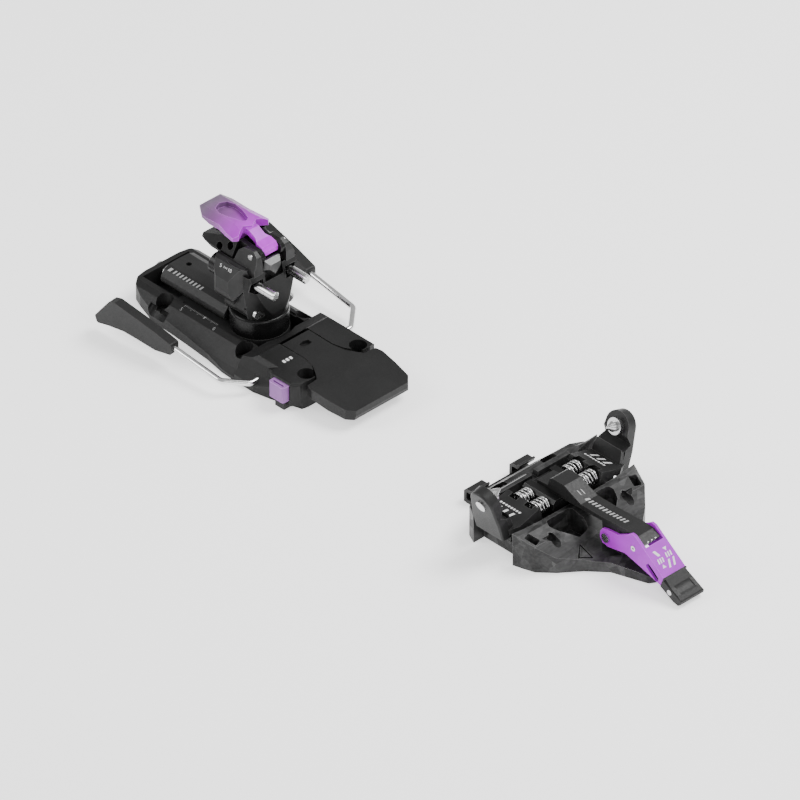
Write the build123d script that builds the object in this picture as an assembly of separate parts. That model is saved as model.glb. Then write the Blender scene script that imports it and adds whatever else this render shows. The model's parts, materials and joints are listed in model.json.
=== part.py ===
"""Two-piece touring (pin) binding: a heel unit with brake and climbing flaps, and a toe unit with a lever.

Millimetres. +X points to the ski tip, +Y to the skier's left, +Z up. The origin lies on the ski surface
at the centre of the toe unit's four screw holes. The toe stands open, with its lever pushed down.
"""
import os

from build123d import *

# Driving dimensions shared by several pieces
RUN = 0.05                     # radial running clearance of pins in their holes
HEEL_X = -192.0                # heel pin tips, along the ski
SKI_SCREW_R = 2.75             # hole for a 5.5 mm ski screw
SKI_SCREW_HEAD_R = 4.8         # counterbore for its head

# Toe unit
TOE_SCREW_X = 21.0
TOE_SCREW_Y = 17.5
WING_AXLE_Y = 26.0
WING_AXLE_Z = 14.0
WING_AXLE_R = 2.5
WING_OPEN_DEG = 17.0
WING_REAR = -10.5
WING_FRONT = 12.5
TOE_PIN_Z = 40.3               # with the wings closed
TOE_PIN_TIP_Y = 30.3           # with the wings closed
TOE_PIN_R = 2.8
EAR_R = 8.1
SPRING_X = (-4.2, 6.6)
SPRING_Z = 19.6
SPRING_R = 4.3
GUIDE_R = 1.9
PEDAL_PIN_X = 45.6
PEDAL_PIN_Z = 16.0
PEDAL_PIN_R = 1.7
PEDAL_HALF = 5.85
LEVER_HALF = 7.7
LEVER_CHEEK = 1.5

# Heel unit, with x counted from the heel pin tips
CHANNEL_HALF = 16.4
WALL_TOP = 13.5
BASE_REAR = -98.5
SEAM_X = -8.0                  # rail and brake housing meet here
HEEL_SCREW_REAR_X = -73.0
HEEL_SCREW_FRONT_X = -13.0
HEEL_SCREW_Y = 21.5
BRAKE_SCREW_X = 30.0
BRAKE_SCREW_Y = 18.4
BRAKE_AXIS_X = 6.5
BRAKE_AXIS_Z = 7.0
TREADLE_SWEEP_R = 10.75        # room for the treadle's rear edge as it swings up
WIRE_R = 1.6
WIRE_Y = 47.3
TURRET_X = -24.5
DRUM_R = 15.8
POST_R = 6.0
TOWER_FLOOR = 24.0
HEEL_PIN_Y = 11.1
HEEL_PIN_Z = 45.8
HEEL_PIN_R = 2.6
PIN_SPREAD = 2.0
PIN_STEP_X = -13.5             # the pins are thinner behind this, inside the tower
PIN_MOUTH = 3.4                # half size of the recess round each pin
PLATE_SCREW_Y = 11.2
PLATE_SCREW_Z = 28.0
PLATE_SCREW_R = 1.6
PLATE_SCREW_HEAD_R = 2.6
PLATE_TOP = 52.6
PLATE_THICK = 2.3
FRONT_R_LOW = 12.9              # tower front under its plate, at the floor
FRONT_R_HIGH = 17.9             # and at its top
FRONT_TOP = 56.0
BOSS_TOP = 56.4
CAM_SEAT_X = -16.0
FLAP_X = -18.4
FLAP_Z = 61.6
FLAP_PIN_R = 1.5
ADJUSTER_R = 2.5
ADJUSTER_Z = 8.4
ADJUSTER_TIP_X = -53.0
BUTTON_X = (19.6, 30.4)


def block(x0, x1, y0, y1, z0, z1):
    """Box between two corners."""
    return Pos((x0 + x1) / 2, (y0 + y1) / 2, (z0 + z1) / 2) * Box(x1 - x0, y1 - y0, z1 - z0)


def rod_x(x0, x1, y, z, r):
    return Pos((x0 + x1) / 2, y, z) * Rot(0, 90, 0) * Cylinder(r, x1 - x0)


def rod_y(y0, y1, x, z, r):
    return Pos(x, (y0 + y1) / 2, z) * Rot(90, 0, 0) * Cylinder(r, y1 - y0)


def rod_z(z0, z1, x, y, r):
    return Pos(x, y, (z0 + z1) / 2) * Cylinder(r, z1 - z0)


def plan(points, z0, z1):
    """Prism from an outline seen from above, given as (x, y)."""
    outline = Polyline(*[(x, y, z0) for x, y in points], close=True)
    return extrude(make_face(outline), amount=z1 - z0, dir=(0, 0, 1))


def half_plan(points, z0, z1):
    """Symmetric prism from the left half of an outline, from the rear centre to the front centre."""
    mirrored = [(x, -y) for x, y in reversed(points) if y > 0]
    return plan(list(points) + mirrored, z0, z1)


def side(points, y0, y1):
    """Prism from an outline seen from the side, given as (x, z)."""
    outline = Polyline(*[(x, y0, z) for x, z in points], close=True)
    return extrude(make_face(outline), amount=y1 - y0, dir=(0, 1, 0))


def section(points, x0, x1):
    """Prism from a symmetric cross-section, given as (y, z) for the left half from centre to centre."""
    whole = list(points) + [(-y, z) for y, z in reversed(points) if y > 0]
    outline = Polyline(*[(x0, y, z) for y, z in whole], close=True)
    return extrude(make_face(outline), amount=x1 - x0, dir=(1, 0, 0))


def ramp(first, x0, second, x1):
    """Solid between two cross-sections given as (y, z), with the same number of corners."""
    ends = []
    for corners, x in ((first, x0), (second, x1)):
        ends.append(make_face(Polyline(*[(x, y, z) for y, z in corners], close=True)))
    return loft(ends, ruled=True)


def mirrored_y(shape):
    return mirror(shape, about=Plane.XZ)


def both(shape):
    return shape + mirrored_y(shape)


def soften(shape, edges, radius):
    """Fillet the edges, or leave them sharp where the radius does not fit."""
    try:
        rounded = fillet(edges, radius)
    except (ValueError, RuntimeError):
        return shape
    return rounded if rounded.is_valid else shape


def ski_screw_hole(x, y, seat_z):
    """Through hole with a counterbore above seat_z."""
    return rod_z(-1, seat_z + 1, x, y, SKI_SCREW_R) + rod_z(seat_z, 60, x, y, SKI_SCREW_HEAD_R)


# ---------------------------------------------------------------- toe unit

def toe_base():
    outline = [(-30, 0), (-30, 15), (-26, 23), (-23.5, 33), (-19.5, 40.5), (-13.2, 43.5), (-13.2, 36),
               (14.2, 36), (14.2, 42.8), (20, 41.2), (26.5, 39), (34.5, 31.5), (43, 20.5), (53, 11.5),
               (66, 7), (73, 4.5), (75.5, 0)]
    body = half_plan(outline, 0, 18)
    body = soften(body, body.edges().filter_by(Axis.Z).sort_by(Axis.X)[-3:], 2.5)
    top = [(-40, 30), (-40, 9), (-30, 12), (-23, 18), (18, 18), (26, 15.6), (34, 9.4), (46, 6.6), (70, 5),
           (77, 3.2), (77, 30)]
    body -= side(top, -60, 60)
    body -= both(Pos(0, 46, 20.5) * Rot(40, 0, 0) * Box(160, 10, 8))
    body += both(ramp([(24, 12), (24, 18), (34, 18.6), (43.4, 19.8), (43, 12)], 14.2,
                      [(24, 12), (24, 15.4), (34, 15.6), (39.2, 15.6), (39, 12)], 26.3))
    body += both(ramp([(22, 8), (22, 18), (36, 22.4), (44.2, 24), (43.4, 8)], -13.2,
                      [(20, 8), (20, 17.4), (27, 17.2), (32.5, 12.5), (32.5, 8)], -23.4))
    body += side([(38.5, 5), (52.5, 5), (51, 8), (49.8, 16), (48.8, 19.2), (42.4, 19.2), (41.4, 16), (39.5, 8)],
                 -2.7, 2.7)
    body += both(side([(-18.5, 16), (-13.2, 16), (-13.2, 21.6), (-16.5, 21.6)], 2, 25))
    body -= block(-13.2, 14.2, -60, 60, 7, 40)
    body -= both(block(-11.5, 13.4, 20, 33, 4.5, 10))
    pocket = plan([(16.4, 4.6), (16.4, 21.4), (20, 23.2), (25.5, 20.5), (31.6, 12.4), (30.4, 5.2), (25.6, 3.6)],
                  4.5, 40)
    pocket = soften(pocket, pocket.edges().filter_by(Axis.Z), 1.8)
    body -= both(pocket)
    dish = Pos(28, 24.5, 19.4) * Rot(0, 0, -52) * scale(Sphere(1), (11, 4.6, 5.6))
    body -= both(dish & block(24, 40, 0, 60, 0, 40))
    window = Pos(21.8, 36.6, 17) * Rot(0, 0, -18) * Box(7, 4.6, 12)
    body -= both(soften(window, window.edges().filter_by(Axis.Z), 0.8))
    facet = plan([(33.5, 14.5), (40.5, 22.5), (45.0, 15.6)], 0, 30)
    facet -= plan([(35.0, 15.6), (40.4, 21.0), (43.4, 16.2)], -1, 31)
    body -= both(facet & block(30, 50, 10, 30, 5.4, 16))
    body -= both(rod_x(-60, 60, WING_AXLE_Y, WING_AXLE_Z, WING_AXLE_R))
    for sx in (-TOE_SCREW_X, TOE_SCREW_X):
        body -= both(ski_screw_hole(sx, TOE_SCREW_Y, 4.5))
    body -= rod_y(-10, 10, PEDAL_PIN_X, PEDAL_PIN_Z, PEDAL_PIN_R)
    return body


def crampon_receptacle():
    plate = block(-41, -30.2, -22, 22, 0, 2.2)
    hook = side([(-42.6, 0), (-36, 0), (-36, 2.2), (-40.2, 2.2), (-40.8, 2.8), (-40.8, 6.0), (-40.2, 6.6),
                 (-37.2, 6.6), (-36.2, 6.9), (-35.0, 9.4), (-36.2, 9.6), (-37.4, 8.4), (-41, 8.4),
                 (-42.6, 6.8)], 10.5, 21.8)
    stop = side([(-36.4, 2.2), (-31.6, 2.2), (-31.6, 6.4), (-32.6, 7.6), (-35.6, 7.6), (-36.4, 6.4)], -5.5, 1.0)
    small_stop = side([(-35.2, 2.2), (-31.6, 2.2), (-31.6, 5.6), (-33, 6.6), (-35.2, 5.6)], 2.6, 6.2)
    return plate + both(hook) + stop + small_stop


def wing_axle():
    """Left axle, ending flush in the base walls."""
    return rod_x(-20, 21, WING_AXLE_Y, WING_AXLE_Z, WING_AXLE_R)


def opened(shape):
    """Turn a closed left wing piece outward about its axle."""
    pivot = Pos(0, WING_AXLE_Y, WING_AXLE_Z)
    return pivot * Rot(-WING_OPEN_DEG, 0, 0) * pivot.inverse() * shape


def toe_wing():
    """Left wing in the closed position."""
    arm = [(WING_REAR, 19.4), (WING_REAR, 40), (9, 40), (WING_FRONT, 34), (WING_FRONT, 19.4)]
    outer = plan(arm, 19, 22.6)
    seat = block(WING_REAR, WING_FRONT, 19.4, 23.5, 11.5, 22.6)
    barrel = rod_x(WING_REAR, WING_FRONT, WING_AXLE_Y, WING_AXLE_Z, 4.9)
    web = block(WING_REAR, WING_FRONT, 22.5, 29.5, WING_AXLE_Z, 20)
    ear = side([(WING_REAR, 15), (9.4, 15), (9.4, 29), (EAR_R, TOE_PIN_Z), (-EAR_R, TOE_PIN_Z), (WING_REAR, 27)],
               38, 44.2)
    ear += rod_y(38, 44.2, 0, TOE_PIN_Z, EAR_R)
    ear = soften(ear, ear.edges().group_by(Axis.Y)[-1], 1.1)
    ear -= Pos(0, 44.2, 14) * Rot(16, 0, 0) * Box(60, 8, 9)
    ear += side([(WING_REAR, 18), (9.4, 18), (9.4, 25), (8.6, 31), (-8.6, 31), (WING_REAR, 25)], 35.6, 38.4)
    wing = outer + seat + barrel + web + ear
    wing -= Pos(0, 36.4, 34.4) * Rot(-52, 0, 0) * Box(60, 9, 6)
    wing -= rod_x(-60, 60, WING_AXLE_Y, WING_AXLE_Z, WING_AXLE_R + RUN)
    wing -= rod_y(30, 60, 0, TOE_PIN_Z, 2.4)
    for spring in SPRING_X:
        wing -= rod_y(18, 22.4, spring, SPRING_Z - 1.5, SPRING_R + 0.9)
    return opened(wing)


def toe_pin():
    """Left pin: cone tip, guide, collar and riveted tail, in the closed position."""
    tip = Pos(0, TOE_PIN_TIP_Y + 1.9, TOE_PIN_Z) * Rot(90, 0, 0) * Cone(TOE_PIN_R, 0.5, 3.8)
    guide = rod_y(TOE_PIN_TIP_Y + 3.8, 38, 0, TOE_PIN_Z, TOE_PIN_R)
    collar = rod_y(35.6, 38, 0, TOE_PIN_Z, 4.6)
    tail = rod_y(38, 44.2, 0, TOE_PIN_Z, 2.4)
    rivet = rod_y(44.2, 45, 0, TOE_PIN_Z, 3.1)
    return opened(tip + guide + collar + tail + rivet)


def toe_springs():
    """Envelopes of the two coil springs on the left."""
    pair = []
    for x in SPRING_X:
        coil = rod_y(12.8, 21.4, x, SPRING_Z, SPRING_R)
        coil -= rod_y(12, 23, x, SPRING_Z, SPRING_R - 1.4)
        pair.append(coil)
    return Compound(children=pair)


def spring_guide_rods():
    return Compound(children=[rod_y(-17.2, 17.2, x, SPRING_Z, GUIDE_R) for x in SPRING_X])


def spring_block():
    body = section([(0, 15.2), (12.6, 15.2), (12.6, 21.5), (11, 23.2), (6.6, 23.2), (6.6, 21.6), (0, 21.6)],
                   -9.6, 12.6)
    for x in SPRING_X:
        body -= rod_y(-20, 20, x, SPRING_Z, GUIDE_R)
    return body


def toe_pedal():
    """Strap from the spring block to the lever window, with two lugs on the pedal pin."""
    strap = side([(-6, 22), (-6, 24.4), (1.6, 25), (3.2, 29.6), (5, 30.8), (13.6, 30.6), (19, 28), (25.6, 25.2),
                  (40, 25.3), (57, 26.3), (65.6, 25.8), (70.4, 23.2), (69, 20.9), (65, 22.6), (57, 23.4),
                  (26, 22.6), (14, 22.2)], -PEDAL_HALF, PEDAL_HALF)
    strap = soften(strap, strap.edges().filter_by(Axis.Y).group_by(Axis.Z)[-1], 1.2)
    lug = side([(40.6, 23.8), (41.6, 15), (43.2, 12.6), (45.6, 11.8), (48, 12.6), (49.6, 15), (51, 24)],
               3.2, PEDAL_HALF)
    body = strap + both(lug)
    body -= block(38, 54, -3.2, 3.2, 10, 21)
    return body - rod_y(-20, 20, PEDAL_PIN_X, PEDAL_PIN_Z, PEDAL_PIN_R + RUN)


def pedal_pin():
    pin = rod_y(-LEVER_HALF, LEVER_HALF, PEDAL_PIN_X, PEDAL_PIN_Z, PEDAL_PIN_R)
    head = rod_y(LEVER_HALF + 0.15, LEVER_HALF + 0.9, PEDAL_PIN_X, PEDAL_PIN_Z, 2.6)
    stub = rod_y(LEVER_HALF - 1, LEVER_HALF + 0.5, PEDAL_PIN_X, PEDAL_PIN_Z, PEDAL_PIN_R)
    return pin + both(head + stub)


LEVER_SIDE = [(41.4, 18), (43, 20.4), (46, 21.2), (53.8, 22), (60, 25.2), (63.6, 27.8), (66.2, 27.4),
              (86.6, 12.3), (84.6, 6.6), (72, 10.2), (66, 11.7), (59, 13.4), (52, 12), (47, 11),
              (43, 11.8), (41.2, 14.4)]


def toe_lever():
    cheek = side(LEVER_SIDE, LEVER_HALF - LEVER_CHEEK, LEVER_HALF)
    top = side([(61.6, 26.2), (63.6, 27.8), (66.2, 27.4), (86.6, 12.3), (85.7, 9.8), (64.0, 25.2)],
               -LEVER_HALF, LEVER_HALF)
    body = both(cheek) + top
    body -= block(60, 72.4, -PEDAL_HALF - 0.4, PEDAL_HALF + 0.4, 15, 40)
    slot = Pos(78.5, 0, 11.6) * Rot(0, 38, 0) * Box(10.5, 40, 3.4)
    body -= soften(slot, slot.edges().filter_by(Axis.Y), 1.6)
    body -= rod_y(-20, 20, PEDAL_PIN_X, PEDAL_PIN_Z, PEDAL_PIN_R + RUN)
    body -= rod_y(-20, 20, 65, 19.4, 1.5)
    return body


def lever_cheek_rivets():
    """A short rivet in each cheek, clear of the pedal between them."""
    rivet = rod_y(LEVER_HALF - LEVER_CHEEK, LEVER_HALF + 0.3, 65, 19.4, 1.5)
    return Compound(children=[rivet, mirrored_y(rivet)])


def lever_grip():
    outline = [(86.7, 12.2), (92, 8.6), (96.5, 6.4), (99.6, 4.4), (99.4, 2.4), (97.4, 0.9), (94, 1.6),
               (84.7, 6.5)]
    cap = side(outline, -LEVER_HALF - 0.4, LEVER_HALF + 0.4)
    tongue = side([(87, 9.2), (86, 6.8), (79, 9.4), (80.6, 12.2)], -LEVER_HALF + LEVER_CHEEK + 0.05,
                  LEVER_HALF - LEVER_CHEEK - 0.05)
    cap = soften(cap, cap.edges().filter_by(Axis.Y).sort_by(Axis.X)[-5:], 0.9)
    cap -= rod_y(-5.4, 5.4, 98.2, 15.0, 9) & block(80, 98, -6, 6, 0, 40)
    cap -= both(Pos(94, LEVER_HALF + 0.9, 9.2) * Rot(0, 27, 0) * Rot(42, 0, 0) * Box(14, 3.4, 2.6))
    body = cap + tongue
    return body - rod_y(-20, 20, 91.2, 5.9, 1.5)


def lever_grip_pin():
    return rod_y(-LEVER_HALF - 0.6, LEVER_HALF + 0.6, 91.2, 5.9, 1.5)


# ---------------------------------------------------------------- heel unit

def heel_base():
    outline = [(BASE_REAR, 0), (BASE_REAR, 12), (-97.4, 18), (-94.5, 22.4), (-88, 25.2), (-79, 27.2), (-50, 29),
               (-31, 30.7), (-18, 33), (SEAM_X, 33.5), (SEAM_X, 24), (33, 20), (33, 0)]
    body = half_plan(outline, 0, WALL_TOP)
    corners = [e for e in body.edges().filter_by(Axis.Z) if e.center().X < -90]
    body = soften(body, corners, 3)
    profile = [(0, -1), (34, -1), (33.6, 1.6), (30, 4.5), (26, 8.6), (22.6, 11.9), (19.5, WALL_TOP),
               (0, WALL_TOP)]
    body &= section(profile, -120, SEAM_X) + block(SEAM_X, 60, -40, 40, -1, 2.2)
    body -= both(Pos(-91, 27.4, 1.0) * Rot(0, 0, 22) * Rot(-40, 0, 0) * Box(30, 7, 8))
    body -= block(BASE_REAR + 3, SEAM_X, -CHANNEL_HALF, CHANNEL_HALF, 3, 40)
    body -= both(block(-64, SEAM_X - 6, CHANNEL_HALF - 1, CHANNEL_HALF + 1.1, WALL_TOP - 0.9, 20))
    body -= block(SEAM_X - 0.1, 60, -10.4, 10.4, 1.0, 3.0)
    body -= both(Pos(-73, 27, 7) * Rot(48, 0, 0) * Rot(0, 0, 8) * scale(Cylinder(1, 6), (7.2, 3.6, 1)))
    for sx in (HEEL_SCREW_REAR_X, HEEL_SCREW_FRONT_X):
        body -= both(ski_screw_hole(sx, HEEL_SCREW_Y, 5))
    body -= both(rod_z(-1, 5, BRAKE_SCREW_X, BRAKE_SCREW_Y, SKI_SCREW_R) & block(20, 40, 0, 40, -1, 5))
    body -= rod_x(-110, -90, 0, ADJUSTER_Z, ADJUSTER_R + RUN)
    return body


def treadle_outline(gap):
    """Left half of the treadle from above, grown by a gap all round."""
    return [(-1.0 if gap else 2.6, 9.4 + gap), (20, 9.2 + gap), (27, 11 + gap), (33 - gap, 14.4 + gap),
            (36.2 - gap, 17 + gap), (37 - gap, 24.2), (37 - gap, 45 if gap else 24.2)]


def brake_housing():
    outline = [(SEAM_X, 0), (SEAM_X, 33.5), (6, 33.6), (16.5, 31.4), (34.5, 25.7), (35.2, 22), (35.2, 0)]
    body = half_plan(outline, 0, 17)
    profile = [(0, 0), (34.5, 0), (33.8, 3.6), (30.4, 9.5), (27, 14.4), (24.8, 16.6), (0, 16.6)]
    body &= section(profile, -20, 50)
    body -= side([(-20, 12.4), (SEAM_X, 13.2), (-1.5, 14.8), (1.2, 16.6), (1.2, 30), (-20, 30)], -50, 50)
    body -= half_plan([(SEAM_X - 1, 0), (SEAM_X - 1, 24), (SEAM_X, 24), (33, 20), (33, 0)], -1, 2.2)
    body -= rod_z(2.2, 40, TURRET_X, 0, DRUM_R + 3.3)
    slot = treadle_outline(0.6)
    body -= half_plan([(slot[0][0], 0)] + slot + [(60, 45), (60, 0)], 2.2, 40)
    body -= rod_y(-10, 10, BRAKE_AXIS_X, BRAKE_AXIS_Z, TREADLE_SWEEP_R) & block(-10, 40, -10, 10, 2.2, 40)
    body -= rod_y(-50, 50, BRAKE_AXIS_X, BRAKE_AXIS_Z, WIRE_R + RUN)
    for sy in (-BRAKE_SCREW_Y, BRAKE_SCREW_Y):
        body -= ski_screw_hole(BRAKE_SCREW_X, sy, 8)
    hood = plan([(11, -22), (11, -27.4), (17.5, -31.6), (31.5, -31.4), (34.4, -27.2), (34.4, -22)], 3, 16.6)
    hood &= side([(11, 3), (35, 3), (35, 16.6), (16, 16.6), (11, 14.6)], -40, 0)
    hood = soften(hood, hood.edges().group_by(Axis.Z)[-1].sort_by(Axis.Y)[:3], 2.2)
    body += hood - rod_z(0, 40, BRAKE_SCREW_X, -BRAKE_SCREW_Y, SKI_SCREW_HEAD_R)
    body -= block(BUTTON_X[0] - 0.4, BUTTON_X[1] + 0.4, -50, -23, 5.4, 15.6)
    body -= rod_y(-24, -20.2, 25, 9, 2.6)
    body += block(22, 28.6, -33, -27, 0, 4.8)
    return body


def brake_lock_button():
    body = block(BUTTON_X[0], BUTTON_X[1], -35.4, -26.2, 6, 15.2)
    body = soften(body, body.edges().filter_by(Axis.Z), 1.4)
    ridge = block(BUTTON_X[0] + 1.5, BUTTON_X[1] - 1.5, -34, -32.8, 14, 17)
    return body - ridge


def brake_lock_spring():
    coil = rod_y(-26, -20.4, 25, 9, 2.3)
    return coil - rod_y(-28, -18, 25, 9, 1.5)


def brake_wire():
    """Left wire: bent outward from its own axle stretch, then back along the ski."""
    points = [(BRAKE_AXIS_X, 4, BRAKE_AXIS_Z), (BRAKE_AXIS_X, 35.8, BRAKE_AXIS_Z),
              (-3.6, WIRE_Y, 9.0), (-60, 49.4, 16.2)]
    path = FilletPolyline(*points, radius=3.6)
    start = Plane(origin=points[0], z_dir=(0, 1, 0))
    return sweep(start * Circle(WIRE_R), path=path)


def brake_paddle():
    """Left plastic paddle on the wire's end."""
    blade = [(-36.6, 10.4), (-36.6, 16.6), (-50, 20), (-62, 22.4), (-76, 25.0), (-80, 24.0), (-90.2, 11),
             (-88.6, 7), (-81, 8.6), (-70, 10), (-60, 9.4), (-48, 8.4)]
    body = side(blade, -2.9, 2.9)
    body = soften(body, body.edges().filter_by(Axis.Y), 1.4)
    body = Pos(-34.2, WIRE_Y + 1.1, 0) * Rot(0, 0, -4.4) * Pos(34.2, 0, 0) * body
    return body - brake_wire()


def brake_treadle():
    outline = [(2.6, 0)] + treadle_outline(0)[:-1] + [(41, 25.2), (52, 24.2), (63, 22.4), (67, 18.6), (67, 0)]
    body = half_plan(outline, 2, 18)
    body &= side([(2.6, 16.6), (20, 16.4), (41.5, 15.2), (67, 11.8), (67.4, 10), (66.4, 6.2), (52, 7.4),
                  (44, 8.8), (37, 9.6), (14, 10), (11, 6), (9, 3.6), (6.5, 3), (4, 3.6), (2.6, 6)], -30, 30)
    body -= half_plan([(7.8, 0), (8.6, 3.2), (11.6, 3.2), (12.2, 0)], 14.6, 30)
    wall = block(10, 35.6, -27, 27, 2.2, 17.1)
    wall -= half_plan([(0, 0)] + treadle_outline(0.15) + [(60, 45), (60, 0)], 0, 40)
    pivot = Pos(BRAKE_AXIS_X, 0, BRAKE_AXIS_Z)
    for angle in (3, 6, 9, 12, 15, 18, 21, 24):
        body -= pivot * Rot(0, angle, 0) * pivot.inverse() * wall
    return body - both(rod_y(3.9, 12, BRAKE_AXIS_X, BRAKE_AXIS_Z, WIRE_R))


def heel_carriage():
    """Sliding foot in the channel, and the box behind the turret."""
    foot = block(-70, TURRET_X, -15.9, 15.9, 3.3, 11.9) + rod_z(3.3, 11.9, TURRET_X, 0, 15.9)
    foot += block(-70, -41, -9, 9, 11.9, 15)
    box = section([(0, 13.8), (12.8, 13.8), (13.3, 15), (13, 17.6), (10.4, 20.8), (7, 22.2), (0, 22.4)], -85, -37)
    box = soften(box, box.edges().group_by(Axis.X)[0], 3.2)
    body = foot + box
    body -= rod_z(3, 50, TURRET_X, 0, 16.3) - rod_z(3, 11.9, TURRET_X, 0, 16.4)
    body -= rod_z(2, 20, TURRET_X, 0, POST_R)
    body -= rod_z(19, 30, -77.5, 0, 1.6)
    return body - rod_x(-110, TURRET_X - POST_R, 0, ADJUSTER_Z, ADJUSTER_R + RUN)


def carriage_spring():
    """Envelope of the coil spring between the base's rear wall and the carriage."""
    coil = rod_x(-94.9, -70.3, 0, ADJUSTER_Z, 5.0)
    return coil - rod_x(-99, -60, 0, ADJUSTER_Z, 3.8)


def turret_drum():
    body = rod_z(11.9, 23.5, TURRET_X, 0, DRUM_R)
    body = soften(body, body.edges().sort_by(Axis.Z)[-1:], 1.5)
    return body - rod_z(5, 40, TURRET_X, 0, POST_R)


def turret_post():
    return rod_z(4, 41, TURRET_X, 0, POST_R) + rod_z(41, 42.4, TURRET_X, 0, POST_R)


def adjuster_screw():
    shaft = rod_x(BASE_REAR - 0.2, ADJUSTER_TIP_X, 0, ADJUSTER_Z, ADJUSTER_R)
    collar = rod_x(-95.2, -93.4, 0, ADJUSTER_Z, 3.0)
    head = rod_x(BASE_REAR - 2.0, BASE_REAR - 0.2, 0, ADJUSTER_Z, 4.0)
    slot = block(BASE_REAR - 2.1, BASE_REAR - 1.1, -5, 5, ADJUSTER_Z - 0.6, ADJUSTER_Z + 0.6)
    return shaft + collar + head - slot


def pin_slot():
    """Space that lets the left heel pin move outward, wider around the pin's mouth."""
    slot = block(-24, 0, HEEL_PIN_Y - 2.7, HEEL_PIN_Y + 2.7 + PIN_SPREAD, HEEL_PIN_Z - 2.7, HEEL_PIN_Z + 2.7)
    return slot + block(PIN_STEP_X - 0.3, 0, HEEL_PIN_Y - PIN_MOUTH, HEEL_PIN_Y + PIN_MOUTH + PIN_SPREAD,
                        HEEL_PIN_Z - PIN_MOUTH, HEEL_PIN_Z + PIN_MOUTH)


def tower_front(grow):
    """Flared round front of the tower behind its leaning face, grown by the plate's thickness or less."""
    height = FRONT_TOP - TOWER_FLOOR
    flare = Pos(TURRET_X, 0, TOWER_FLOOR + height / 2) * Cone(FRONT_R_LOW + grow, FRONT_R_HIGH + grow, height)
    face = [(-11, 10), (-11.8, 27), (-15, 46), (-17, 57), (-18.4, 70)]
    lean = side([(-70, 10)] + [(x + grow, z) for x, z in face] + [(-70, 70)], -40, 40)
    return flare & lean


def tower_housing():
    shape = section([(0, TOWER_FLOOR), (12.8, TOWER_FLOOR), (14.8, 29.5), (20.4, 36.6), (21.2, 40), (21.2, 47.2),
                     (18, 55.2), (15.6, BOSS_TOP), (0, BOSS_TOP)], -42, -9)
    plan_edge = [(-41.5, 0), (-41.5, 12), (-37, 20), (-34, 21.4), (-25.6, 21.4), (-20.4, 18), (-18.6, 16.4),
                 (-18.6, 0)]
    body = shape & half_plan(plan_edge, 10, 70)
    body -= both(Pos(-21.4, 20, 33) * Rot(0, 34, 0) * Box(6, 12, 26))
    lower = rod_z(TOWER_FLOOR, 36, TURRET_X, 0, 14.2) + block(-36, TURRET_X, -13.6, 13.6, TOWER_FLOOR, 36)
    body -= block(-50, 0, -30, 30, 20, 30) - lower
    body += tower_front(-RUN)
    lug = side([(-28.8, 54), (-27.4, 62), (-24.6, 64.4), (-17.5, 64.9), (-13.8, 62.6), (-12.8, 58.5), (-12.8, 52),
                (-18, 46)], 8.4, 14.2)
    lug = soften(lug, lug.edges().filter_by(Axis.Y).sort_by(Axis.Z)[-3:], 1.2)
    lug &= section([(0, 40), (22, 40), (22, BOSS_TOP), (14.2, BOSS_TOP), (9.9, 65.5), (0, 65.5)], -60, 0)
    body -= block(-60, -29.2, -14, 14, 54.6, 90)
    body += both(lug - block(-18.5, 0, 0, 30, 20, PLATE_TOP + RUN))
    body -= block(-60, 0, -8.4, 8.4, 54.6, 90)
    body -= rod_z(20, 41.2, TURRET_X, 0, POST_R + RUN) + rod_z(41, 43, TURRET_X, 0, POST_R + 0.4)
    body -= both(rod_x(-50, -22, HEEL_PIN_Y, HEEL_PIN_Z, 6.2) + pin_slot())
    body -= block(CAM_SEAT_X, 0, -6.4, 6.4, 46.4, 60)
    body -= both(rod_x(-20, 0, PLATE_SCREW_Y, PLATE_SCREW_Z, PLATE_SCREW_R))
    body -= both(rod_x(-14.8, 0, PLATE_SCREW_Y, PLATE_SCREW_Z, PLATE_SCREW_HEAD_R))
    return body - rod_y(-30, 30, FLAP_X, FLAP_Z, FLAP_PIN_R)


def tower_front_plate():
    """Flared plate over the tower's front, leaning back above the pins."""
    shell = tower_front(PLATE_THICK) - tower_front(0)
    body = shell & block(-18.4, 0, -17.2, 17.2, TOWER_FLOOR, PLATE_TOP)
    body -= Pos(-10, 0, 56.4) * Rot(45, 0, 0) * Box(20, 11, 11) + block(-20, 0, -6.4, 6.4, 46.4, 60)
    body -= both(pin_slot())
    body -= both(rod_x(-30, 0, PLATE_SCREW_Y, PLATE_SCREW_Z, PLATE_SCREW_R))
    return body - both(rod_x(-14.8, 0, PLATE_SCREW_Y, PLATE_SCREW_Z, PLATE_SCREW_HEAD_R))


def front_plate_screws():
    pair = []
    for y in (-PLATE_SCREW_Y, PLATE_SCREW_Y):
        head = rod_x(-14.8, -13.2, y, PLATE_SCREW_Z, PLATE_SCREW_HEAD_R)
        pair.append(head + rod_x(-18.2, -14.8, y, PLATE_SCREW_Z, PLATE_SCREW_R))
    return Compound(children=pair)


def heel_pin():
    """Left heel pin with a chamfered tip and a collar inside the tower."""
    body = rod_x(PIN_STEP_X, 0, HEEL_PIN_Y, HEEL_PIN_Z, HEEL_PIN_R)
    body = chamfer(body.edges().sort_by(Axis.X)[-1:], 0.7)
    body += rod_x(-27, PIN_STEP_X, HEEL_PIN_Y, HEEL_PIN_Z, HEEL_PIN_R - 0.4)
    return body + rod_x(-34, -26, HEEL_PIN_Y, HEEL_PIN_Z, 3.9)


def release_springs():
    pair = []
    for y in (-HEEL_PIN_Y, HEEL_PIN_Y):
        pair.append(rod_x(-39.4, -34.6, y, HEEL_PIN_Z, 6) - rod_x(-45, -30, y, HEEL_PIN_Z, 4.4))
    return Compound(children=pair)


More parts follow.
